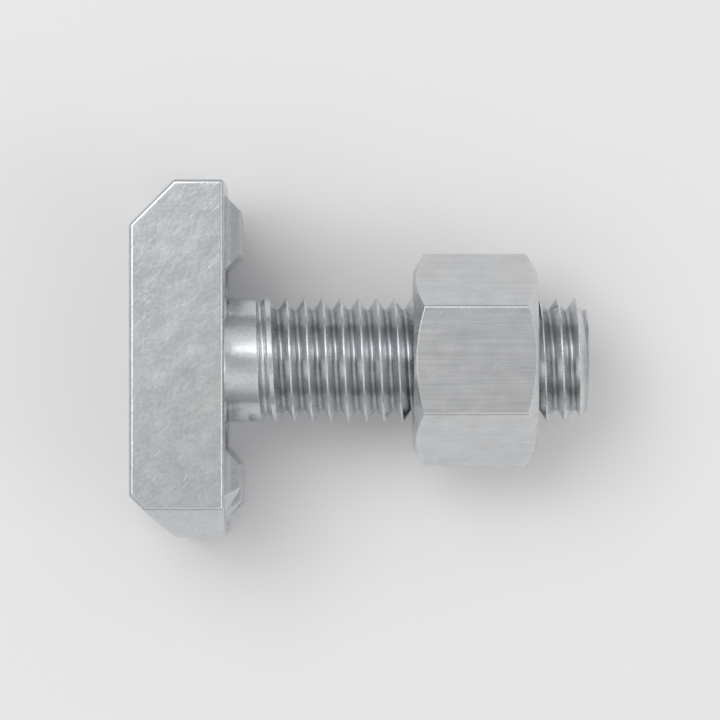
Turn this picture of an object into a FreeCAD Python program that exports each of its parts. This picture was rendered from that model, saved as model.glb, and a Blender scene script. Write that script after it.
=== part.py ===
import FreeCAD, Part
import os
import Sketcher

# The object is a T slot bolt with its hex nut. The bolt is forged in one piece: a long T head with two
# serrated pads on its underside, and a round shank. The frame, in millimetres: +X runs along the shank
# from the head to the tip, Y is the long way of the head and Z is its width, so the bolt lies on one long
# side of its head. The origin is on the shank's axis, in the plane of the head's underside.

# Driving dimensions. Each is a cell of the sheet, called by its alias in every formula below.
SIZES = {
    "head_length": 34.5,
    "head_width": 19.5,
    "head_thickness": 9.1,
    "head_bevel": 4.3,
    "head_edge_radius": 0.4,
    "ridge_count": 6,
    "ridge_height": 1.5,
    "ridge_crest_land": 0.2,
    "valley_floor": 0.1,
    "pad_length": 7.25,
    "pad_side_margin": 0.75,
    "pad_end_margin": 1.45,
    "relief_diameter": 18.0,
    "relief_depth": 0.4,
    "neck_fillet": 0.5,
    "thread_diameter": 12.0,
    "thread_pitch": 1.75,
    "thread_start": 4.9,
    "run_out_length": 2.6,
    "shank_length": 35.0,
    "tip_chamfer": 1.1,
    "tip_standout": 4.9,
    "notch_width": 2.2,
    "notch_depth": 1.1,
    "nut_across_flats": 18.0,
    "nut_height": 12.0,
    "nut_face_inset": 0.45,
    "nut_edge_radius": 0.4,
    "thread_clearance": 0.05,
    "countersink_width": 0.45,
}

# Formulas that several outlines share.
HEAD_END = "sizes.head_length / 2"
HEAD_SIDE = "sizes.head_width / 2"
RIDGE_PITCH = "(sizes.head_width - 2 * sizes.pad_side_margin) / sizes.ridge_count"
PAD_OUTER = "(sizes.head_length / 2 - sizes.pad_end_margin)"
PAD_SIDE = "(sizes.head_width / 2 - sizes.pad_side_margin)"
SHANK_RADIUS = "sizes.thread_diameter / 2"
THREAD_DEPTH = "sizes.thread_pitch * sqrt(3) / 2 * 5 / 8"
NUT_CORNER = "sizes.nut_across_flats / 2 / cos(30deg)"
BORE_RADIUS = "(sizes.thread_diameter / 2 + sizes.thread_clearance)"

doc = FreeCAD.newDocument("t_slot_bolt")
sheet = doc.addObject("Spreadsheet::Sheet", "sizes")
for row, (alias, size) in enumerate(SIZES.items(), start=1):
    sheet.set(f"A{row}", alias)
    sheet.set(f"B{row}", str(size))
    sheet.setAlias(f"B{row}", alias)
doc.recompute()


def origin_part(body, role):
    """One plane or axis of the body's own origin."""
    return next(part for part in body.Origin.OriginFeatures if part.Role == role)


def new_sketch(body, name, plane):
    """An empty sketch on one of the body's own planes."""
    sketch = body.newObject("Sketcher::SketchObject", name)
    sketch.AttachmentSupport = (origin_part(body, plane), [""])
    sketch.MapMode = "FlatFace"
    return sketch


def value(formula):
    """What a formula of the sheet's aliases comes to now."""
    return float(sheet.evalExpression(formula.replace("sizes.", "")))


def hold(sketch, kind, edge, end, formula):
    """Dimension one point from the sketch's origin by a formula, or keep it on the axis."""
    if formula == "0":
        axis = -2 if kind == "DistanceX" else -1
        sketch.addConstraint(Sketcher.Constraint("PointOnObject", edge, end, axis))
        return
    index = sketch.addConstraint(Sketcher.Constraint(kind, -1, 1, edge, end, value(formula)))
    sketch.setExpression(f"Constraints[{index}]", formula)


def draw_loop(sketch, corners, arcs=None):
    """A closed outline through the corners, each a pair of formulas. The sides that arcs names by number
    turn about the centre given there, and a third entry of a corner names the coordinate they settle."""
    arcs = arcs or {}
    points = [FreeCAD.Vector(value(corner[0]), value(corner[1]), 0) for corner in corners]
    ends = []
    for side, start in enumerate(points):
        finish = points[(side + 1) % len(points)]
        if side in arcs:
            centre = FreeCAD.Vector(value(arcs[side][0]), value(arcs[side][1]), 0)
            turn = (start - centre).cross(finish - centre).z
            first, last = (start, finish) if turn > 0 else (finish, start)
            circle = Part.Circle(centre, FreeCAD.Vector(0, 0, 1), (start - centre).Length)
            shape = Part.ArcOfCircle(circle, circle.parameter(first), circle.parameter(last))
            ends.append((1, 2) if turn > 0 else (2, 1))
        else:
            shape = Part.LineSegment(start, finish)
            ends.append((1, 2))
        edge = sketch.addGeometry(shape)
        if side == 0:
            first_edge = edge
        if side in arcs:
            hold(sketch, "DistanceX", edge, 3, arcs[side][0])
            hold(sketch, "DistanceY", edge, 3, arcs[side][1])
    for side, corner in enumerate(corners):
        edge, before = first_edge + side, first_edge + (side - 1) % len(corners)
        start, finish_before = ends[side][0], ends[side - 1][1]
        sketch.addConstraint(Sketcher.Constraint("Coincident", before, finish_before, edge, start))
        free = corner[2] if len(corner) > 2 else ""
        if free != "x":
            hold(sketch, "DistanceX", edge, start, corner[0])
        if free != "y":
            hold(sketch, "DistanceY", edge, start, corner[1])


def extrude(body, name, kind, sketch, length, symmetric=False, backward=False):
    """A pad or pocket of the sketch, its length a formula."""
    feature = body.newObject(f"PartDesign::{kind}", name)
    feature.Profile = sketch
    feature.SideType = "Symmetric" if symmetric else "One side"
    feature.Reversed = backward
    feature.setExpression("Length", length)
    doc.recompute()
    return feature


def turn_about_axis(body, name, kind, sketch, angle=360):
    """A revolution or groove of the sketch about the shank's axis, which is each sketch's first axis."""
    feature = body.newObject(f"PartDesign::{kind}", name)
    feature.Profile = sketch
    feature.ReferenceAxis = (sketch, ["H_Axis"])
    feature.Angle = angle
    doc.recompute()
    return feature


def make_head(body):
    """The T head: two opposite corners turn about the shank's axis, so that the head can swing
    crosswise in its slot, and the other two stay square and stop it there."""
    outline = new_sketch(body, "head_outline", "YZ_Plane")
    swing = f"sqrt(({HEAD_END}) ^ 2 - ({HEAD_SIDE}) ^ 2)"
    corners = [
        (HEAD_END, "0"),
        (HEAD_END, HEAD_SIDE),
        (f"-({swing})", HEAD_SIDE, "x"),
        (f"-{HEAD_END}", "0"),
        (f"-{HEAD_END}", f"-{HEAD_SIDE}"),
        (swing, f"-{HEAD_SIDE}", "x"),
    ]
    draw_loop(outline, corners, arcs={2: ("0", "0"), 5: ("0", "0")})
    extrude(body, "head_block", "Pad", outline, "sizes.head_thickness", backward=True)

    bevels = new_sketch(body, "head_bevels", "XY_Plane")
    for way in ("", "-"):
        low = f"{way}({HEAD_END} - 2 * sizes.head_bevel)"
        high = f"{way}({HEAD_END} + sizes.head_bevel)"
        corners = [
            ("-(sizes.head_thickness + sizes.head_bevel)", low),
            ("2 * sizes.head_bevel - sizes.head_thickness", high),
            ("-(sizes.head_thickness + sizes.head_bevel)", high),
        ]
        draw_loop(bevels, corners)
    block = extrude(body, "head_bevel_cut", "Pocket", bevels, "2 * sizes.head_width", symmetric=True)

    edges = body.newObject("PartDesign::Fillet", "head_edges")
    edges.Base = (block, [""])
    edges.UseAllEdges = True
    edges.setExpression("Radius", "sizes.head_edge_radius")
    doc.recompute()


def make_pads(body):
    """The two serrated pads. Each is a low block that slopes in at 45 degrees on every side and follows
    the head's rounded corner, with V valleys across it that leave the ridges standing."""
    blocks = new_sketch(body, "pad_outlines", "YZ_Plane")
    swing = f"sqrt({PAD_OUTER} ^ 2 - {PAD_SIDE} ^ 2)"
    for way, other in (("", "-"), ("-", "")):
        corners = [
            (f"{way}{PAD_OUTER}", "0"),
            (f"{way}{PAD_OUTER}", f"{way}{PAD_SIDE}"),
            (f"{way}({PAD_OUTER} - sizes.pad_length)", f"{way}{PAD_SIDE}"),
            (f"{way}({PAD_OUTER} - sizes.pad_length)", f"{other}{PAD_SIDE}"),
            (f"{way}({swing})", f"{other}{PAD_SIDE}", "x"),
        ]
        draw_loop(blocks, corners, arcs={4: ("0", "0")})
    pads = extrude(body, "pads", "Pad", blocks, "sizes.ridge_height")
    pads.TaperAngle = -45
    doc.recompute()

    valley = new_sketch(body, "valley_profile", "XZ_Plane")
    lowest = f"(2 - sizes.ridge_count) / 2 * {RIDGE_PITCH}"
    spread = f"({RIDGE_PITCH} - sizes.ridge_crest_land)"
    corners = [
        ("sizes.valley_floor", lowest),
        ("2 * sizes.ridge_height - sizes.valley_floor", f"{lowest} + {spread}"),
        ("2 * sizes.ridge_height - sizes.valley_floor", f"{lowest} - {spread}"),
    ]
    draw_loop(valley, corners)
    first = extrude(body, "first_valley", "Pocket", valley, "sizes.head_length", symmetric=True)
    valleys = body.newObject("PartDesign::LinearPattern", "valleys")
    valleys.Originals = [first]
    valleys.Direction = (origin_part(body, "Z_Axis"), [""])
    valleys.Mode = "Spacing"
    valleys.setExpression("Offset", RIDGE_PITCH)
    valleys.setExpression("Occurrences", "sizes.ridge_count - 1")
    body.Tip = valleys
    doc.recompute()


def make_shank(body):
    """The round relief under the head, and the shank that rises from it through a fillet to its
    chamfered tip."""
    relief = new_sketch(body, "relief_profile", "XY_Plane")
    corners = [
        ("-sizes.relief_depth", "0"),
        ("-sizes.relief_depth", "sizes.relief_diameter / 2"),
        ("2 * sizes.ridge_height", "sizes.relief_diameter / 2"),
        ("2 * sizes.ridge_height", "0"),
    ]
    draw_loop(relief, corners)
    turn_about_axis(body, "relief", "Groove", relief)

    shank = new_sketch(body, "shank_profile", "XY_Plane")
    fillet_end = "sizes.neck_fillet - sizes.relief_depth"
    fillet_foot = f"{SHANK_RADIUS} + sizes.neck_fillet"
    corners = [
        ("-sizes.head_thickness / 2", "0"),
        ("sizes.shank_length", "0"),
        ("sizes.shank_length", f"{SHANK_RADIUS} - sizes.tip_chamfer"),
        ("sizes.shank_length - sizes.tip_chamfer", SHANK_RADIUS),
        (fillet_end, SHANK_RADIUS),
        ("-sizes.relief_depth", fillet_foot, "x"),
        ("-sizes.head_thickness / 2", fillet_foot),
    ]
    draw_loop(shank, corners, arcs={4: (fillet_end, fillet_foot)})
    turn_about_axis(body, "shank", "Revolution", shank)


def wind_about_axis(body, name, sketch, **formulas):
    """A groove that the sketch leaves as it winds about the shank's axis."""
    feature = body.newObject("PartDesign::SubtractiveHelix", name)
    feature.Profile = sketch
    feature.ReferenceAxis = (sketch, ["H_Axis"])
    feature.Mode = "height-turns-growth"
    feature.Reversed = name == "run_out"
    for key, formula in formulas.items():
        feature.setExpression(key, formula)
    doc.recompute()
    return feature


def make_thread(body):
    """The right-handed thread: its flanks stand 60 degrees apart, and its root is a quarter of the pitch
    wide. From thread_start it runs past the tip at full depth, and towards the head it grows shallow and
    fades into the shank."""
    groove = new_sketch(body, "groove_profile", "XY_Plane")
    root = f"{SHANK_RADIUS} - {THREAD_DEPTH}"
    over = "sizes.thread_pitch / 20"
    mouth = f"(sizes.thread_pitch * 7 / 16 + {over} * tan(30deg))"
    corners = [
        ("sizes.thread_start - sizes.thread_pitch / 8", root),
        ("sizes.thread_start + sizes.thread_pitch / 8", root),
        (f"sizes.thread_start + {mouth}", f"{SHANK_RADIUS} + {over}"),
        (f"sizes.thread_start - {mouth}", f"{SHANK_RADIUS} + {over}"),
    ]
    draw_loop(groove, corners)
    length = "sizes.shank_length - sizes.thread_start + 1.5 * sizes.thread_pitch"
    wind_about_axis(body, "thread", groove, Height=length, Turns=f"({length}) / sizes.thread_pitch", Growth="0")
    fade = "sizes.run_out_length / sizes.thread_pitch"
    wind_about_axis(body, "run_out", groove, Height="sizes.run_out_length", Turns=fade,
                    Growth=f"({THREAD_DEPTH} + {over}) / ({fade})")


def make_notch(body):
    """The V notch across the tip, which shows which way the hidden head lies."""
    notch = new_sketch(body, "notch_profile", "XZ_Plane")
    corners = [
        ("sizes.shank_length - sizes.notch_depth", "0"),
        ("sizes.shank_length + sizes.notch_depth", "sizes.notch_width"),
        ("sizes.shank_length + sizes.notch_depth", "-sizes.notch_width"),
    ]
    draw_loop(notch, corners)
    extrude(body, "tip_notch", "Pocket", notch, "2 * sizes.thread_diameter", symmetric=True)


def make_nut(body):
    """The hex nut, two corners along Y, its six edges broken, chamfered at both faces, with a
    countersunk bore. Its own origin is the middle of the face towards the head."""
    block = body.newObject("PartDesign::AdditivePrism", "nut_block")
    block.AttachmentSupport = (origin_part(body, "YZ_Plane"), [""])
    block.MapMode = "FlatFace"
    block.Polygon = 6
    block.setExpression("Circumradius", NUT_CORNER)
    block.setExpression("Height", "sizes.nut_height")
    doc.recompute()

    long_edges = []
    for number, edge in enumerate(block.Shape.Edges, start=1):
        if abs(edge.tangentAt(edge.FirstParameter).x) > 0.99:
            long_edges.append(f"Edge{number}")
    broken = body.newObject("PartDesign::Fillet", "nut_edges")
    broken.Base = (block, long_edges)
    broken.setExpression("Radius", "sizes.nut_edge_radius")
    doc.recompute()

    chamfers = new_sketch(body, "nut_chamfers", "XY_Plane")
    ring = "(sizes.nut_across_flats / 2 - sizes.nut_face_inset)"
    past = "sizes.nut_face_inset"
    outside = f"{NUT_CORNER} + {past}"
    for face, way in (("0", "+"), ("sizes.nut_height", "-")):
        outer_end = f"{face} - ({past} * tan(30deg))" if way == "+" else f"{face} + {past} * tan(30deg)"
        corners = [
            (outer_end, f"{ring} - {past}"),
            (f"{face} {way} ({outside} - {ring}) * tan(30deg)", outside),
            (outer_end, outside),
        ]
        draw_loop(chamfers, corners)
    turn_about_axis(body, "nut_chamfer_cut", "Groove", chamfers)

    bore = new_sketch(body, "bore_profile", "XY_Plane")
    sink = "sizes.countersink_width"
    mouth = f"{BORE_RADIUS} + 2 * {sink}"
    corners = [
        (f"-{sink}", "0"),
        (f"-{sink}", mouth),
        (sink, BORE_RADIUS),
        (f"sizes.nut_height - {sink}", BORE_RADIUS),
        (f"sizes.nut_height + {sink}", mouth),
        (f"sizes.nut_height + {sink}", "0"),
    ]
    draw_loop(bore, corners)
    turn_about_axis(body, "bore", "Groove", bore)
    body.setExpression("Placement.Base.x", "sizes.shank_length - sizes.tip_standout - sizes.nut_height")


def make_body(label, *steps):
    """One piece: a body that the given steps build."""
    body = doc.addObject("PartDesign::Body", label)
    body.Label = label
    doc.recompute()
    for step in steps:
        step(body)
    return body


pieces = [
    make_body("bolt", make_head, make_pads, make_shank, make_thread, make_notch),
    make_body("hex_nut", make_nut),
]
doc.recompute()

for thing in doc.Objects:
    if "Invalid" in thing.State or "Error" in thing.State:
        raise RuntimeError(f"{thing.Name} failed: {thing.State}")
for piece in pieces:
    if piece.Shape.isNull() or not piece.Shape.isValid() or len(piece.Shape.Solids) != 1:
        raise RuntimeError(f"{piece.Label} is not one sound solid")

os.makedirs("parts", exist_ok=True)
for piece in pieces:
    piece.Shape.exportStep(f"parts/{piece.Label}.step")
    box = piece.Shape.BoundBox
    print(f"{piece.Label}: {piece.Shape.Volume:.1f} mm3, x {box.XMin:.2f} to {box.XMax:.2f}, "
          f"y {box.YMin:.2f} to {box.YMax:.2f}, z {box.ZMin:.2f} to {box.ZMax:.2f}")
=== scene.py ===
# %% [markdown]
# A T slot bolt holds brackets to slotted steel channel. Its long head goes in through the slot, turns a
# quarter and bites behind the lips with two serrated pads, and a hex nut pulls the bracket down. Both pieces
# are steel with a thin bright coat of zinc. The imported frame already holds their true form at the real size,
# down to the bolt's thread with a flat bottom. What it leaves out is the round root of that thread and the
# thread inside the nut, so this script cuts both, and it gives every surface the finish of plated steel. All
# lengths are in metres, so a size in millimetres is written times MM.

# %% Load the frame
import math

import bmesh
import bpy
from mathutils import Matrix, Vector


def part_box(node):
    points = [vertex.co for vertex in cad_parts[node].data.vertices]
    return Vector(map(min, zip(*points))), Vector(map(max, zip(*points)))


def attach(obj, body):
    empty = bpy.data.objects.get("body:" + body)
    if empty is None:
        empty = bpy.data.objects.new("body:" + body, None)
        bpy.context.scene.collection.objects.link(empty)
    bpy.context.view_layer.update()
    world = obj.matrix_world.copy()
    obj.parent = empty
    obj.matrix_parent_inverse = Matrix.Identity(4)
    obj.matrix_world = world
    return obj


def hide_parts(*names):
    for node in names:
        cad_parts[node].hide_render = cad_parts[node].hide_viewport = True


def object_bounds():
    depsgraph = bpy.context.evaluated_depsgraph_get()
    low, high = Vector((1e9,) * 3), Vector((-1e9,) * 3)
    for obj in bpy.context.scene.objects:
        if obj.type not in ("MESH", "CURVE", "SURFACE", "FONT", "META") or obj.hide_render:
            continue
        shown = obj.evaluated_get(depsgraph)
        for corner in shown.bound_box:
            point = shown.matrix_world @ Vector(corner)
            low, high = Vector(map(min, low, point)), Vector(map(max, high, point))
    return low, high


MM = 0.001
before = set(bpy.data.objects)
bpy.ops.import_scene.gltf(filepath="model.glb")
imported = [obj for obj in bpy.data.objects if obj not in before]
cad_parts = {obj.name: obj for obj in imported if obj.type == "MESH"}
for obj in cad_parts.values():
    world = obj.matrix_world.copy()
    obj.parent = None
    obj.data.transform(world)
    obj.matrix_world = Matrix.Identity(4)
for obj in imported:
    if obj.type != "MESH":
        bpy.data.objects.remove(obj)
cad_low, cad_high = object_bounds()
bolt_low, bolt_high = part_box("bolt")
nut_low, nut_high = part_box("hex_nut")
nut_middle = (nut_low.x + nut_high.x) / 2
print("the bolt, mm:", [round(v / MM, 2) for v in bolt_high - bolt_low])
print("the nut, mm:", [round(v / MM, 2) for v in nut_high - nut_low])

# %% [markdown]
# Node trees are used twice below: geometry trees cut the threads, and shader trees paint the metal. They
# could be drawn by hand in Blender's editors, but a script can be read and changed line by line. Both kinds
# are made of the same three moves, which are to add a node, to choose its menus and to fill its sockets, so
# one helper does all three. A socket takes a plain value or the output of another node.

# %% Helpers for node trees
def add_node(tree, kind, sockets=None, **menus):
    """A node of a tree, with its menus chosen and its sockets filled by name or number."""
    node = tree.nodes.new(kind)
    for menu, choice in menus.items():
        setattr(node, menu, choice)
    for key, filling in (sockets or {}).items():
        if isinstance(filling, bpy.types.NodeSocket):
            tree.links.new(filling, node.inputs[key])
        else:
            node.inputs[key].default_value = filling
    return node


def reckon(tree, operation, *values):
    """The output of one math node."""
    return add_node(tree, "ShaderNodeMath", dict(enumerate(values)), operation=operation).outputs[0]


def new_geometry_tree(name, sockets):
    """A geometry tree with named inputs, each a socket type, and the outputs of its input node."""
    tree = bpy.data.node_groups.new(name, "GeometryNodeTree")
    tree.interface.new_socket("Result", in_out="OUTPUT", socket_type="NodeSocketGeometry")
    for label, kind in sockets.items():
        tree.interface.new_socket(label, in_out="INPUT", socket_type="NodeSocket" + kind)
    return tree, add_node(tree, "NodeGroupInput").outputs


def close_geometry_tree(tree, geometry, finish):
    """The end of a geometry tree: its instances are made real and take their material."""
    real = add_node(tree, "GeometryNodeRealizeInstances", {"Geometry": geometry})
    painted = add_node(tree, "GeometryNodeSetMaterial", {"Geometry": real.outputs[0], "Material": finish})
    add_node(tree, "NodeGroupOutput", {"Result": painted.outputs[0]})


# %% [markdown]
# The frame's bolt has its thread as a drawing gives it, with a flat bottom, and its nut has a plain bore.
# The flanks stand 60 degrees apart, so a whole thread would be a triangle. The crest cuts an eighth off its
# top and the flat bottom a quarter off its foot. Everything follows from the crest's radius, which is half
# of the shank's 12 mm, and the pitch, the 1.75 mm from one crest to the next that belongs to that size. The
# thread is at full depth from 4.9 mm on, and fades into the shank over the 2.6 mm before that.

# %% The thread's sizes
PITCH = 1.75 * MM
CREST_RADIUS = 6.0 * MM
THREAD_START = 4.9 * MM
RUN_OUT = 2.6 * MM
HALF_FLANK = math.radians(30)
TRIANGLE = PITCH * math.sqrt(3) / 2
CORNER_DEPTH = TRIANGLE * 7 / 8
FLAT_DEPTH = TRIANGLE * 5 / 8
MOUTH_HEIGHT = PITCH / 20
RISE_PER_LENGTH = (FLAT_DEPTH + MOUTH_HEIGHT) / RUN_OUT
print("depth to the flat bottom, mm:", round(FLAT_DEPTH / MM, 3))

# %% [markdown]
# A rolled thread has a round root, because a sharp corner would start a crack. Its flanks lie a few
# hundredths of a millimetre inside the drawn ones and the nut's a few hundredths outside, so that the two
# turn freely. The threads could be built up face by face, but they are cut here as in a workshop, with a
# tool: a flat outline that is swept along a helix and then taken away from the steel. The bolt's tool is its
# groove with a round nose that runs tangent into both flanks. It is grown by the allowance, which also keeps
# it from grazing the flanks that are there already. The nut's tool is the bolt's ridge, grown by the play.
# Both are drawn with the first coordinate as the height over the crest and the second along the axis.

# %% The outlines of the two thread tools
ALLOWANCE = 0.03 * MM
FLANK_PLAY = 0.05 * MM
NOSE_CENTRE = TRIANGLE / 6 / math.sin(HALF_FLANK) - CORNER_DEPTH
NOSE_RADIUS = TRIANGLE / 6 + ALLOWANCE
NOSE_POINTS = 9
ROOT_DEPTH = NOSE_RADIUS - NOSE_CENTRE
ROOT_RADIUS = CREST_RADIUS - ROOT_DEPTH


def outline_curve(name, points):
    """A closed flat outline that a geometry tree can sweep."""
    curve = bpy.data.curves.new(name, "CURVE")
    spline = curve.splines.new("POLY")
    spline.points.add(len(points) - 1)
    for point, (height, along) in zip(spline.points, points):
        point.co = (height, along, 0, 1)
    spline.use_cyclic_u = True
    outline = bpy.data.objects.new(name, curve)
    bpy.context.scene.collection.objects.link(outline)
    return outline


def groove_half_width(height, growth):
    """Half the width of the groove at a height over the crest, with its flanks moved out by the growth."""
    return (height + CORNER_DEPTH) * math.tan(HALF_FLANK) + growth / math.cos(HALF_FLANK)


def groove_points():
    """The grown groove, from its mouth down one flank, round the nose and up the other."""
    sweep = math.pi - 2 * HALF_FLANK
    turns = [sweep * (0.5 - step / (NOSE_POINTS - 1)) for step in range(NOSE_POINTS)]
    nose = [(NOSE_CENTRE - NOSE_RADIUS * math.cos(turn), NOSE_RADIUS * math.sin(turn)) for turn in turns]
    mouth = groove_half_width(MOUTH_HEIGHT, ALLOWANCE)
    return [(MOUTH_HEIGHT, mouth)] + nose + [(MOUTH_HEIGHT, -mouth)]


def ridge_points():
    """The grown ridge, from above its crest down past the nut's smallest radius."""
    foot = -FLAT_DEPTH - MOUTH_HEIGHT
    inside = 2 * foot
    tip, base = (PITCH / 2 - groove_half_width(height, -FLANK_PLAY) for height in (FLANK_PLAY, foot))
    one_side = [(FLANK_PLAY, tip), (foot, base), (inside, base)]
    return [(FLANK_PLAY, -tip), *one_side, (inside, -base), (foot, -base)]


groove_outline = outline_curve("groove_outline", groove_points())
ridge_outline = outline_curve("ridge_outline", ridge_points())
print("rounded root at radius, mm:", round(ROOT_RADIUS / MM, 3))

# %% [markdown]
# The Screw modifier could wind an outline too, but it keeps to one radius, and near the head the groove
# rises out of the steel in a straight slope. So a geometry tree sweeps the outline along a spiral, and lifts
# the spiral's start outwards in the same slope. The spiral climbs along Z, where a curve's normals can be
# told to stay level, and it is turned afterwards: its climb then follows X, and it starts on the Y side of
# the axis, as the frame's own groove does. An exact Boolean then takes the tool out of the steel. It is
# slower than the other solvers, but it copes with hundreds of thin faces and leaves a closed mesh.

# %% The tree that cuts a thread
def thread_tree():
    """Steel less an outline that winds about the X axis."""
    tree, size = new_geometry_tree("cut_a_thread", {
        "Steel": "Geometry",
        "Outline": "Object",
        "Pitch": "Float",
        "Radius": "Float",
        "Start": "Float",
        "Turns": "Float",
        "Fade": "Float",
        "Lift": "Float",
        "Steps": "Int",
        "Finish": "Material",
    })
    climb = reckon(tree, "MULTIPLY", size["Pitch"], size["Turns"])
    spiral = add_node(tree, "GeometryNodeCurveSpiral", {
        "Resolution": size["Steps"],
        "Rotations": size["Turns"],
        "Start Radius": size["Radius"],
        "End Radius": size["Radius"],
        "Height": climb,
        "Reverse": True,
    })
    place = add_node(tree, "GeometryNodeInputPosition").outputs[0]
    height = add_node(tree, "ShaderNodeSeparateXYZ", {0: place}).outputs["Z"]
    level = add_node(tree, "ShaderNodeVectorMath", {0: place, 1: (1, 1, 0)}, operation="MULTIPLY")
    outward = add_node(tree, "ShaderNodeVectorMath", {0: level.outputs[0]}, operation="NORMALIZE")
    lift = add_node(tree, "ShaderNodeMapRange", {
        "Value": height,
        "From Min": 0.0,
        "From Max": size["Fade"],
        "To Min": size["Lift"],
        "To Max": 0.0,
    })
    shift = add_node(tree, "ShaderNodeVectorMath", {0: outward.outputs[0], "Scale": lift.outputs[0]},
                     operation="SCALE")
    path = add_node(tree, "GeometryNodeSetPosition", {
        "Geometry": spiral.outputs["Curve"],
        "Offset": shift.outputs[0],
    })
    steady = add_node(tree, "GeometryNodeSetCurveNormal", {"Curve": path.outputs[0]}, mode="Z_UP")
    outline = add_node(tree, "GeometryNodeObjectInfo", {"Object": size["Outline"]})
    swept = add_node(tree, "GeometryNodeCurveToMesh", {
        "Curve": steady.outputs[0],
        "Profile Curve": outline.outputs["Geometry"],
        "Fill Caps": True,
    })
    start = add_node(tree, "ShaderNodeCombineXYZ", {"X": size["Start"]})
    turned = add_node(tree, "GeometryNodeTransform", {
        "Geometry": swept.outputs[0],
        "Rotation": (math.pi / 2, 0, math.pi / 2),
        "Translation": start.outputs[0],
    })
    cut = add_node(tree, "GeometryNodeMeshBoolean", {
        "Mesh 1": size["Steel"],
        "Mesh 2": turned.outputs[0],
    }, operation="DIFFERENCE", solver="EXACT")
    close_geometry_tree(tree, cut.outputs["Mesh"], size["Finish"])
    return tree


cut_thread = thread_tree()
print("nodes in the thread tree:", len(cut_thread.nodes))

# %% [markdown]
# Plated steel looks bright from afar, but its surface tells how it was made. The zinc lies in faint clouds
# with a cool or a warm tint, the hot-forged head is slightly wavy, and handling leaves hair scratches. A
# painted picture could show that, but it would stretch over the corners and blur in a close view, so each
# mark here is a noise texture of the right size. The next helpers give noise by the size of its blobs in
# metres, which is easier to judge against the part than a scale. Most of a noise's values lie in its middle,
# so a pattern that should use its whole range is cut to that. Every pattern reads Object coordinates, so it
# stays put on the steel when the nut travels.

# %% Helpers for the finishes
MIDDLE = (0.30, 0.70)
CORE = (0.35, 0.65)


def remap(tree, value, low, high, to_low, to_high):
    """A value's range moved to another one, and cut off at its ends."""
    return add_node(tree, "ShaderNodeMapRange", {
        "Value": value,
        "From Min": low,
        "From Max": high,
        "To Min": to_low,
        "To Max": to_high,
    }).outputs[0]


def blobs(tree, place, size, detail=2.0, squeeze=(1, 1, 1)):
    """Noise with blobs of a given size. Detail adds finer ones, and a small squeeze draws them out."""
    mapped = add_node(tree, "ShaderNodeVectorMath", {0: place, 1: squeeze}, operation="MULTIPLY")
    return add_node(tree, "ShaderNodeTexNoise", {
        "Vector": mapped.outputs[0],
        "Scale": 1 / size,
        "Detail": detail,
    }).outputs["Fac"]


def bumps(tree, place, size, height, detail=1.0, squeeze=(1, 1, 1)):
    """Noise as a relief with a height in metres."""
    return reckon(tree, "MULTIPLY", blobs(tree, place, size, detail, squeeze), height)


def tinted(tree, amount, below, above, mode="MIX"):
    """One colour laid over another."""
    laid = add_node(tree, "ShaderNodeMix", {0: amount, 6: below, 7: above},
                    data_type="RGBA", blend_type=mode)
    return laid.outputs[2]


def along_axis(tree, place):
    """The place along the shank, which is its X."""
    return add_node(tree, "ShaderNodeSeparateXYZ", {0: place}).outputs[0]


# %% [markdown]
# Hair scratches run straight, each lot in its own direction. Curves laid on the steel could make them one by
# one, but a noise that is drawn out along one axis makes hundreds at once: only its highest streaks are
# kept, and a second noise breaks them off.

# %% Scratches
STREAK_CUT = (0.77, 0.84)
GAP_CUT = (0.50, 0.64)


def scratches(tree, place, turn, length, width):
    """Sparse hair scratches in one direction, 1 on a scratch and 0 elsewhere."""
    aimed = add_node(tree, "ShaderNodeMapping", {"Vector": place, "Rotation": turn})
    streaks = blobs(tree, aimed.outputs[0], width, detail=0.0, squeeze=(width / length, 1, width / length))
    gaps = blobs(tree, place, length, detail=1.0)
    thin = remap(tree, streaks, *STREAK_CUT, 0.0, 1.0)
    return reckon(tree, "MULTIPLY", thin, remap(tree, gaps, *GAP_CUT, 0.0, 1.0))


# %% [markdown]
# Such parts are plated by the hundred in a turning barrel, where they rub against each other. That leaves
# their outer edges and the crests of their threads a little brighter and smoother. The edges could be
# painted by hand, point by point. An Ambient Occlusion node that looks into the steel finds them by itself,
# because there the steel is thin. It gives the same from every side, and a noise makes the rubbing uneven.

# %% The rubbed edges
RUB_REACH = 0.70 * MM
THIN_CUT = (0.50, 0.95)
RUB_PATCH = 0.9 * MM
RUB_PATCH_CUT = (0.38, 0.60)
LEAST_RUB = 0.4


def rubbed_edges(tree, place):
    """How far the steel is rubbed bright, from 0 on open faces to 1 on sharp outer edges."""
    thickness = add_node(tree, "ShaderNodeAmbientOcclusion", {"Distance": RUB_REACH},
                         samples=8, inside=True, only_local=True)
    at_edge = remap(tree, thickness.outputs["AO"], *THIN_CUT, 1.0, 0.0)
    uneven = remap(tree, blobs(tree, place, RUB_PATCH, detail=3.0), *RUB_PATCH_CUT, LEAST_RUB, 1.0)
    return reckon(tree, "MULTIPLY", at_edge, uneven)


# %% [markdown]
# The colour of plated steel isn't even. It is tinted in wide patches, cool in some and warm in others, a
# painted shade darkens the bottom of the thread, and it is brightened where it is rubbed. One colour would
# look like paint, so each of these is laid over the last with a Mix node.

# %% The colour of the coat
TINT_PATCH = 7.0 * MM
COOL_CUT = (0.52, 0.75)
WARM_CUT = (0.48, 0.25)
MOST_TINT = 0.35
COOL = (0.64, 0.68, 0.73, 1)
WARM = (0.72, 0.71, 0.67, 1)
# The dark colour of the painted shade in the bottom of the threads.
GROOVE_SHADE_COLOUR = (0.10, 0.095, 0.09, 1)
BRIGHT = (0.84, 0.85, 0.86, 1)
MOST_BRIGHT = 0.55


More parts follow.
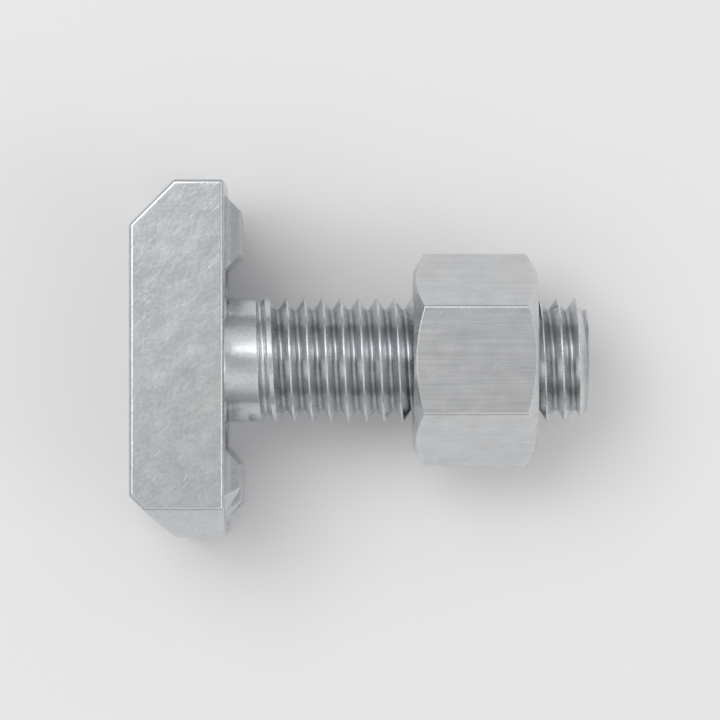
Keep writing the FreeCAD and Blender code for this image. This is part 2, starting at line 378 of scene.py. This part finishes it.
def coat_colour(tree, place, colour, shade, painted_groove_shade, rubbed):
    """The steel's colour under its tints, its cloudy tone, the painted shade in its groove and its rubbed
    edges.
    """
    patches = blobs(tree, place, TINT_PATCH)
    base = tinted(tree, remap(tree, patches, *COOL_CUT, 0.0, MOST_TINT), (*colour, 1), COOL)
    base = tinted(tree, remap(tree, patches, *WARM_CUT, 0.0, MOST_TINT), base, WARM)
    grey = add_node(tree, "ShaderNodeCombineColor", {0: shade, 1: shade, 2: shade}).outputs[0]
    base = tinted(tree, 1.0, base, grey, "MULTIPLY")
    # Painted shade: the bottom of each thread is darkened as if it lay in shade.
    base = tinted(tree, painted_groove_shade, base, GROOVE_SHADE_COLOUR)
    return tinted(tree, reckon(tree, "MULTIPLY", rubbed, MOST_BRIGHT), base, BRIGHT)


# %% [markdown]
# The zinc coat itself is the same on both pieces, so one function paints it. Its shade and its roughness
# follow the same clouds, because a spot where the crystals are coarse is both duller and darker. The fine
# tone, the painted shade in the bottom of the groove and the relief, a height in metres, come from whoever
# calls, because the forged head and the pressed nut differ there. A Bevel node rounds the light on the sharp
# edges by about a tenth of a millimetre, as plating does. Real bevels would do that too, but with many more
# faces.

# %% The zinc coat
CLOUD = 1.8 * MM
CLOUD_SHADES = (0.88, 0.95)
CLOUD_ROUGHNESS = (0.30, 0.23)
LONG_SCRATCHES = {"turn": (0.3, 0.2, 0.7), "length": 5 * MM, "width": 0.10 * MM}
SHORT_SCRATCHES = {"turn": (0.5, -0.4, 2.2), "length": 3 * MM, "width": 0.08 * MM}
SCRATCH_DEPTH = 0.002 * MM
SCRATCH_ROUGHENS = 0.05
RUBBING_SMOOTHS = 0.06
EDGE_ROUNDING = 0.12 * MM


def zinc_coat(name, colour, tone, painted_groove_shade, relief):
    """A zinc plated finish, whose last three functions take the tree, the place and the radius."""
    material = bpy.data.materials.new(name)
    material.use_nodes = True
    material.diffuse_color = (*colour, 1)
    tree = material.node_tree
    tree.nodes.clear()
    place = add_node(tree, "ShaderNodeTexCoord").outputs["Object"]
    across = add_node(tree, "ShaderNodeVectorMath", {0: place, 1: (0, 1, 1)}, operation="MULTIPLY")
    radius = add_node(tree, "ShaderNodeVectorMath", {0: across.outputs[0]}, operation="LENGTH")
    where = (tree, place, radius.outputs["Value"])
    clouds = blobs(tree, place, CLOUD, detail=3.0)
    rubbed = rubbed_edges(tree, place)
    lines = reckon(tree, "MAXIMUM",
                   scratches(tree, place, **LONG_SCRATCHES),
                   scratches(tree, place, **SHORT_SCRATCHES))
    shade = reckon(tree, "MULTIPLY", remap(tree, clouds, *MIDDLE, *CLOUD_SHADES), tone(*where))
    rough = remap(tree, clouds, *MIDDLE, *CLOUD_ROUGHNESS)
    rough = reckon(tree, "MULTIPLY_ADD", lines, SCRATCH_ROUGHENS, rough)
    rough = reckon(tree, "MULTIPLY_ADD", rubbed, -RUBBING_SMOOTHS, rough)
    soft_edges = add_node(tree, "ShaderNodeBevel", {"Radius": EDGE_ROUNDING}, samples=6)
    bump = add_node(tree, "ShaderNodeBump", {
        "Strength": 1.0,
        "Distance": 1.0,
        "Height": reckon(tree, "MULTIPLY_ADD", lines, -SCRATCH_DEPTH, relief(*where)),
        "Normal": soft_edges.outputs[0],
    })
    # The base colour carries the painted shade in the bottom of the groove.
    shader = add_node(tree, "ShaderNodeBsdfPrincipled", {
        "Base Color": coat_colour(tree, place, colour, shade, painted_groove_shade(*where), rubbed),
        "Metallic": 1.0,
        "Roughness": rough,
        "Normal": bump.outputs[0],
    })
    add_node(tree, "ShaderNodeOutputMaterial", {0: shader.outputs[0]})
    return material


# %% [markdown]
# On the bolt, the head was forged hot, so it has shallow waves and a fine peel, like an orange's, where the
# scale came off. The shank was rolled, which leaves it smooth. The head could have a material of its own,
# but then a line would show where the two meet. Here one material serves both. The head lies on the minus
# X side of the frame's origin, so the waves fade out just past it. A painted shade darkens the bottom of the
# groove, from the root to nearly half-way up the flank.

# %% The bolt's finish
BOLT_STEEL = (0.66, 0.68, 0.70)
FORGE_WAVE = 2.1 * MM
FORGE_WAVE_HEIGHT = 0.026 * MM
PEEL = 0.42 * MM
PEEL_HEIGHT = 0.010 * MM
PEEL_TONES = (0.95, 1.03)
GRAIN = 0.16 * MM
GRAIN_HEIGHT = 0.0020 * MM
HEAD_FADES = (0.2 * MM, 0.6 * MM)
WAVES_LEFT_ON_SHANK = 0.15
# The painted shade in the bolt's groove: how far up the flank it reaches, how dark it gets, its patches, and
# where it starts and stops along the shank.
SHADE_CLIMB = 0.45 * ROOT_DEPTH
MOST_GROOVE_SHADE = 0.55
SHADE_PATCH = 1.5 * MM
SHADE_PATCH_SHARES = (0.6, 1.0)
SHADE_STARTS = (2.2 * MM, 2.6 * MM)
SHADE_STOPS = (bolt_high.x - 0.1 * MM, bolt_high.x - 0.02 * MM)


def peel_tone(tree, place, radius):
    """The hollows of the peel, a little darker than the rest."""
    return remap(tree, blobs(tree, place, PEEL, detail=1.0), *CORE, *PEEL_TONES)


def thread_painted_shade(tree, place, radius):
    """Painted shade in the bottom of the bolt's groove, uneven along it."""
    deep = remap(tree, radius, ROOT_RADIUS, ROOT_RADIUS + SHADE_CLIMB, MOST_GROOVE_SHADE, 0.0)
    uneven = remap(tree, blobs(tree, place, SHADE_PATCH), *MIDDLE, *SHADE_PATCH_SHARES)
    along = along_axis(tree, place)
    beyond_head = remap(tree, along, *SHADE_STARTS, 0.0, 1.0)
    before_tip = remap(tree, along, *SHADE_STOPS, 1.0, 0.0)
    return reckon(tree, "MULTIPLY", reckon(tree, "MULTIPLY", deep, uneven),
                  reckon(tree, "MULTIPLY", beyond_head, before_tip))


def forged_relief(tree, place, radius):
    """The waves and the peel of the forged head, and the fine grain of the plating all over."""
    on_head = remap(tree, along_axis(tree, place), *HEAD_FADES, 1.0, WAVES_LEFT_ON_SHANK)
    waves = bumps(tree, place, FORGE_WAVE, FORGE_WAVE_HEIGHT)
    peel = bumps(tree, place, PEEL, PEEL_HEIGHT)
    forged = reckon(tree, "MULTIPLY", reckon(tree, "ADD", waves, peel), on_head)
    return reckon(tree, "ADD", forged, bumps(tree, place, GRAIN, GRAIN_HEIGHT, detail=2.0))


bolt_finish = zinc_coat("bolt_zinc", BOLT_STEEL, peel_tone, thread_painted_shade, forged_relief)
print("finish:", bolt_finish.name, "with", len(bolt_finish.node_tree.nodes), "nodes")

# %% [markdown]
# A nut is pressed cold from a bar. Its flats keep the fine lines along the axis that the die drew on them,
# and its two end faces are turned, which leaves rings. An anisotropic shader could stretch the highlight
# alone, but it needs tangents and shows no lines up close. A noise drawn out along the axis shows both, and
# so does a noise of the radius alone for the rings. Both patterns are finer than the eye sorts out, yet they
# decide how a highlight stretches over the steel.

# %% The nut's finish
NUT_STEEL = (0.70, 0.71, 0.72)
DRAWN_LINE = 0.26 * MM
DRAWN_HEIGHT = 0.014 * MM
DRAWN_TONES = (0.92, 1.03)
LENGTHWISE = (0.03, 1, 1)
SWELL = 2.0 * MM
SWELL_HEIGHT = 0.008 * MM
RING = 0.18 * MM
RING_HEIGHT = 0.010 * MM
NUT_GRAIN_HEIGHT = 0.0025 * MM
END_BAND = (0.10 * MM, 0.04 * MM)
# How far into the nut's groove the painted shade reaches, and how dark it gets.
TAPPED_SHADE_DEPTH = 0.6 * MM
MOST_TAPPED_SHADE = 0.5
BORE_ENDS = (CREST_RADIUS + 0.06 * MM, CREST_RADIUS + 0.16 * MM)


def drawn_tone(tree, place, radius):
    """Fine grey lines along the flats, where the coat is thin in the drawn grooves."""
    return remap(tree, blobs(tree, place, DRAWN_LINE, detail=3.0, squeeze=LENGTHWISE), *CORE, *DRAWN_TONES)


def tapped_painted_shade(tree, place, radius):
    """Painted shade in the bottom of the nut's groove, and none outside its bore."""
    deep = remap(tree, radius, CREST_RADIUS - TAPPED_SHADE_DEPTH, CREST_RADIUS, 0.0, MOST_TAPPED_SHADE)
    return reckon(tree, "MULTIPLY", deep, remap(tree, radius, *BORE_ENDS, 1.0, 0.0))


def pressed_relief(tree, place, radius):
    """Drawn lines along the flats, turned rings at both ends, and the grain of the plating."""
    from_middle = reckon(tree, "ABSOLUTE", reckon(tree, "SUBTRACT", along_axis(tree, place), nut_middle))
    half = nut_high.x - nut_middle
    at_end = remap(tree, from_middle, half - END_BAND[0], half - END_BAND[1], 0.0, 1.0)
    drawn = bumps(tree, place, DRAWN_LINE, DRAWN_HEIGHT, detail=3.0, squeeze=LENGTHWISE)
    flats = reckon(tree, "ADD", drawn, bumps(tree, place, SWELL, SWELL_HEIGHT))
    only_radius = add_node(tree, "ShaderNodeCombineXYZ", {"X": radius}).outputs[0]
    rings = bumps(tree, only_radius, RING, RING_HEIGHT, detail=3.0)
    mixed = add_node(tree, "ShaderNodeMix", {"Factor": at_end, 2: flats, 3: rings}).outputs[0]
    return reckon(tree, "ADD", mixed, bumps(tree, place, GRAIN, NUT_GRAIN_HEIGHT, detail=2.0))


nut_finish = zinc_coat("nut_zinc", NUT_STEEL, drawn_tone, tapped_painted_shade, pressed_relief)
print("finish:", nut_finish.name, "with", len(nut_finish.node_tree.nodes), "nodes")

# %% [markdown]
# Both pieces start from the frame's own meshes, which are loose triangles and must stay as they are. They
# could be modelled again, but then they might not fit. So a copy is welded into one closed skin, its
# coplanar triangles are joined into whole faces, and the imported normals are dropped, because the Boolean
# needs a closed body and makes new corners that would inherit nonsense.

# %% Blanks from the frame's solids
WELD = 0.002 * MM
FLAT_WITHIN = math.radians(0.3)


def blank_from(node, name):
    """A welded copy of a CAD node as a new object."""
    mesh = bpy.data.meshes.new(name)
    skin = bmesh.new()
    skin.from_mesh(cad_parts[node].data)
    bmesh.ops.remove_doubles(skin, verts=skin.verts, dist=WELD)
    bmesh.ops.dissolve_limit(skin, angle_limit=FLAT_WITHIN, verts=skin.verts, edges=skin.edges)
    open_edges = sum(1 for edge in skin.edges if len(edge.link_faces) != 2)
    skin.to_mesh(mesh)
    skin.free()
    if "custom_normal" in mesh.attributes:
        mesh.attributes.remove(mesh.attributes["custom_normal"])
    mesh.materials.clear()
    blank = bpy.data.objects.new(name, mesh)
    bpy.context.scene.collection.objects.link(blank)
    print(name, "blank:", len(mesh.polygons), "faces,", open_edges, "open edges")
    return blank


bolt = blank_from("bolt", "threaded_bolt")
nut = blank_from("hex_nut", "threaded_nut")

# %% [markdown]
# The frame's nut has a smooth bore that clears the bolt's crests, as its solid must. A real nut is drilled
# narrower, to the size that a tap needs, with the same cone at each end. A second Boolean could add the
# missing ring of steel. Sliding the points where bore and cone meet further down the cone's 45 degree slope
# does the same, and no face is added.

# %% Drill the nut to its tapping size
DRILL_RADIUS = CREST_RADIUS - FLAT_DEPTH
BORE_RADIUS = CREST_RADIUS + FLANK_PLAY
BORE_SLACK = 0.01 * MM
moved = 0
for vertex in nut.data.vertices:
    out = math.hypot(vertex.co.y, vertex.co.z)
    if out < BORE_RADIUS + BORE_SLACK:
        slide = out - DRILL_RADIUS
        inward = 1 if vertex.co.x < nut_middle else -1
        shrink = DRILL_RADIUS / out
        vertex.co = (vertex.co.x + inward * slide, vertex.co.y * shrink, vertex.co.z * shrink)
        moved += 1
print("bore points moved:", moved, "to radius, mm:", round(DRILL_RADIUS / MM, 3))

# %% [markdown]
# Now both pieces go through the same tree. The bolt's tool starts two turns before the full thread, where it
# is still clear of the steel, sinks along the run-out and passes the tip. The nut's ridge lies half a pitch
# further along the same helix, so the nut's own ridges stand in the bolt's grooves. The nut's travel in the
# frame ends on whole turns, so the two still mesh there. The modifier's sizes go in by each socket's
# identifier, because its name isn't a key, and its result becomes the piece's own mesh, because the export
# and the poses work on plain meshes.

# %% Cut both threads
STEPS_PER_TURN = 72
SHARP_OVER = math.radians(28)
TURNS_BEFORE = 2
TURNS_PAST_TIP = 1
TURNS_BEFORE_NUT = 1
TURNS_PAST_NUT = 2


def cut_with(outline, piece, sizes):
    """Cuts a thread into a piece, and keeps the result as the piece's mesh."""
    modifier = piece.modifiers.new("thread", "NODES")
    modifier.node_group = cut_thread
    given = {"Outline": outline, "Pitch": PITCH, "Radius": CREST_RADIUS, "Steps": STEPS_PER_TURN, **sizes}
    for socket in cut_thread.interface.items_tree:
        if socket.in_out == "INPUT" and socket.name in given:
            modifier[socket.identifier] = given[socket.name]
    shape = bpy.data.meshes.new_from_object(piece.evaluated_get(bpy.context.evaluated_depsgraph_get()))
    piece.modifiers.clear()
    piece.data = shape
    shape.shade_smooth()
    shape.set_sharp_from_angle(angle=SHARP_OVER)
    print(piece.name, "cut:", len(shape.polygons), "faces")


cut_with(groove_outline, bolt, {
    "Start": THREAD_START - PITCH * TURNS_BEFORE,
    "Turns": float(TURNS_BEFORE + math.ceil((bolt_high.x - THREAD_START) / PITCH) + TURNS_PAST_TIP),
    "Fade": PITCH * TURNS_BEFORE,
    "Lift": PITCH * TURNS_BEFORE * RISE_PER_LENGTH,
    "Finish": bolt_finish,
})
turns_to_nut = math.floor((nut_low.x - THREAD_START) / PITCH) - TURNS_BEFORE_NUT
turns_in_nut = math.ceil((nut_high.x - nut_low.x) / PITCH)
cut_with(ridge_outline, nut, {
    "Start": THREAD_START + PITCH * (turns_to_nut + 0.5),
    "Turns": float(TURNS_BEFORE_NUT + turns_in_nut + TURNS_PAST_NUT),
    "Fade": PITCH,
    "Lift": 0.0,
    "Finish": nut_finish,
})
for outline in (groove_outline, ridge_outline):
    bpy.data.objects.remove(outline)

# %% [markdown]
# The head and the nut have wide flats with a narrow rounding beside them. Averaging the normals of the two
# would make the flats look swollen, and flat shading would show the rounding's facets. The Weighted Normal
# modifier lets the large faces win, and it keeps the sharp edges. On the round shank and in the threads the
# plain average is the true one, so the modifier is held to the points that lie further out.

# %% Steady the normals of the flats
OUTSIDE_THREAD = CREST_RADIUS + 0.9 * MM
for piece in (bolt, nut):
    further_out = [v.index for v in piece.data.vertices if math.hypot(v.co.y, v.co.z) > OUTSIDE_THREAD]
    piece.vertex_groups.new(name="flats").add(further_out, 1.0, "ADD")
    steady = piece.modifiers.new("flat_faces_win", "WEIGHTED_NORMAL")
    steady.mode = "FACE_AREA"
    steady.weight = 50
    steady.keep_sharp = True
    steady.vertex_group = "flats"
    print(piece.name, "has", len(further_out), "points outside its thread")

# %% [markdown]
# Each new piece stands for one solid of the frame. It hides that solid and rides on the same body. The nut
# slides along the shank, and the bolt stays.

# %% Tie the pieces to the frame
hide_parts("bolt")
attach(bolt, "bolt_body")
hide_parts("hex_nut")
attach(nut, "nut_body")
print("two pieces tied")

# %% [markdown]
# The bolt lies on the long side of its head, on a plain pale floor. Its colour is a little under white, so
# that the soft shadow beside the steel still shows. A curved backdrop could hide the floor's far edge from
# one side, but the part is looked at from all sides. So, far from the bolt, the camera and the metal's
# reflections see the floor fade into the plain pale backdrop, and no horizon cuts through the low views.

# %% The floor
FLOOR_HALF = 2.0
FLOOR_GREY = (0.88, 0.88, 0.88, 1)
BACKDROP = (0.93, 0.93, 0.93, 1)
FADE_FROM = 0.15
FADE_TO = 0.60
corners = [(-FLOOR_HALF, -FLOOR_HALF), (FLOOR_HALF, -FLOOR_HALF), (FLOOR_HALF, FLOOR_HALF),
           (-FLOOR_HALF, FLOOR_HALF)]
floor_mesh = bpy.data.meshes.new("floor")
floor_mesh.from_pydata([(x, y, cad_low.z) for x, y in corners], [], [(0, 1, 2, 3)])
floor = bpy.data.objects.new("floor", floor_mesh)
bpy.context.scene.collection.objects.link(floor)
floor_paint = bpy.data.materials.new("floor_paint")
floor_paint.use_nodes = True
ground = floor_paint.node_tree
ground.nodes.clear()
matte = add_node(ground, "ShaderNodeBsdfPrincipled", {
    "Base Color": FLOOR_GREY,
    "Roughness": 0.9,
    "Specular IOR Level": 0.2,
})
plain = add_node(ground, "ShaderNodeEmission", {0: BACKDROP, 1: 1.0})
spot = add_node(ground, "ShaderNodeTexCoord").outputs["Object"]
away = add_node(ground, "ShaderNodeVectorMath", {0: spot}, operation="LENGTH").outputs["Value"]
far = remap(ground, away, FADE_FROM, FADE_TO, 0.0, 1.0)
rays = add_node(ground, "ShaderNodeLightPath").outputs
looks_at_it = reckon(ground, "MAXIMUM", rays["Is Camera Ray"], rays["Is Glossy Ray"])
fade = reckon(ground, "MULTIPLY", far, looks_at_it)
faded = add_node(ground, "ShaderNodeMixShader", {0: fade, 1: matte.outputs[0], 2: plain.outputs[0]})
add_node(ground, "ShaderNodeOutputMaterial", {0: faded.outputs[0]})
floor_mesh.materials.append(floor_paint)
print("floor at z, mm:", round(cad_low.z / MM, 2))

# %% [markdown]
# Metal shows what is around it, so its look is decided by the room more than by its colour. A picture of a
# real studio could be that room, but a ramp of greys from the horizon to overhead is enough and is easy to
# set. This one is dark near the horizon, brightest more than half-way up and dim overhead. A cylinder seen
# from above shows that as bright and dark bands along its length, and a nut's top flat stands out from its
# sloping ones. The camera sees only the plain pale backdrop, and a quarter of it is laid over the ramp for
# the metal too, which keeps upright faces from going dull.

# %% The room's light
STOPS = [(0.0, 0.10), (0.10, 0.12), (0.35, 0.30), (0.60, 0.74), (0.82, 0.96), (0.95, 0.55), (1.0, 0.31)]
DAYLIGHT_BLUE = 1.01
BACKDROP_IN_METAL = 0.25
world = bpy.data.worlds.new("studio")
bpy.context.scene.world = world
world.use_nodes = True
room = world.node_tree
room.nodes.clear()
toward = add_node(room, "ShaderNodeTexCoord").outputs["Generated"]
rise = add_node(room, "ShaderNodeSeparateXYZ", {0: toward}).outputs["Z"]
dome = add_node(room, "ShaderNodeValToRGB", {0: rise})
ramp = dome.color_ramp
while len(ramp.elements) < len(STOPS):
    ramp.elements.new(0.5)
for element, (rise_at, level) in zip(ramp.elements, STOPS):
    element.position = rise_at
    element.color = (level, level, level * DAYLIGHT_BLUE, 1)
rays = add_node(room, "ShaderNodeLightPath").outputs
paled = reckon(room, "MULTIPLY", rays["Is Glossy Ray"], BACKDROP_IN_METAL)
lit = add_node(room, "ShaderNodeBackground", {0: tinted(room, paled, dome.outputs[0], BACKDROP), 1: 1.0})
seen = add_node(room, "ShaderNodeBackground", {0: BACKDROP, 1: 1.0})
either = add_node(room, "ShaderNodeMixShader", {
    0: rays["Is Camera Ray"],
    1: lit.outputs[0],
    2: seen.outputs[0],
})
add_node(room, "ShaderNodeOutputWorld", {0: either.outputs[0]})
print("dome stops:", len(STOPS))

# %% [markdown]
# Two soft boxes do the rest. The large one, up and to the left, gives the shadow its side. It stands so near
# to overhead that its edge just starts to show in the faces that look straight up, and its light then falls
# off across them. A smaller and weaker one on the right lifts the far flanks. Point lamps would draw hard
# shadows and tiny sparks, but an area lamp's power spreads over its face, so a wide lamp stays soft.

# %% The lamps
KEY_BOX = {"offset": (-0.25, 0.22, 0.60), "size": 0.42, "power": 1.35}
SIDE_BOX = {"offset": (0.42, -0.16, 0.40), "size": 0.30, "power": 0.3}
centre = (cad_low + cad_high) / 2


def soft_box(name, offset, size, power):
    """A square area lamp at an offset from the part's centre, turned to face it."""
    light = bpy.data.lights.new(name, "AREA")
    light.size = size
    light.energy = power
    lamp = bpy.data.objects.new(name, light)
    lamp.location = centre + Vector(offset)
    lamp.rotation_euler = (-Vector(offset)).to_track_quat("-Z", "Y").to_euler()
    bpy.context.scene.collection.objects.link(lamp)


soft_box("key_box", **KEY_BOX)
soft_box("side_box", **SIDE_BOX)

# %% [markdown]
# The drawing shows the bolt square from the side, so the camera looks straight down on it. An orthographic
# camera would be flat, as the drawing is, but a real lens at a distance looks more natural, and a long one
# keeps parallel edges nearly parallel. The frame is wide enough for the nut at the end of its travel.

# %% The camera
LENS_MM = 250
SENSOR_MM = 36
HALF_VIEW = 35 * MM
lens = bpy.data.cameras.new("camera")
lens.lens = LENS_MM
lens.sensor_width = SENSOR_MM
lens.clip_start = 0.01
lens.clip_end = 20
distance = HALF_VIEW * 2 * LENS_MM / SENSOR_MM
camera = bpy.data.objects.new("camera", lens)
camera.location = (centre.x, centre.y, centre.z + distance)
bpy.context.scene.collection.objects.link(camera)
bpy.context.scene.camera = camera
bpy.context.scene.view_settings.view_transform = "Standard"
print("camera height, mm:", round(distance / MM))

# %% [markdown]
# Last, the view layer is updated, so that every piece stands in its final place.

# %% Update the view layer
bpy.context.view_layer.update()
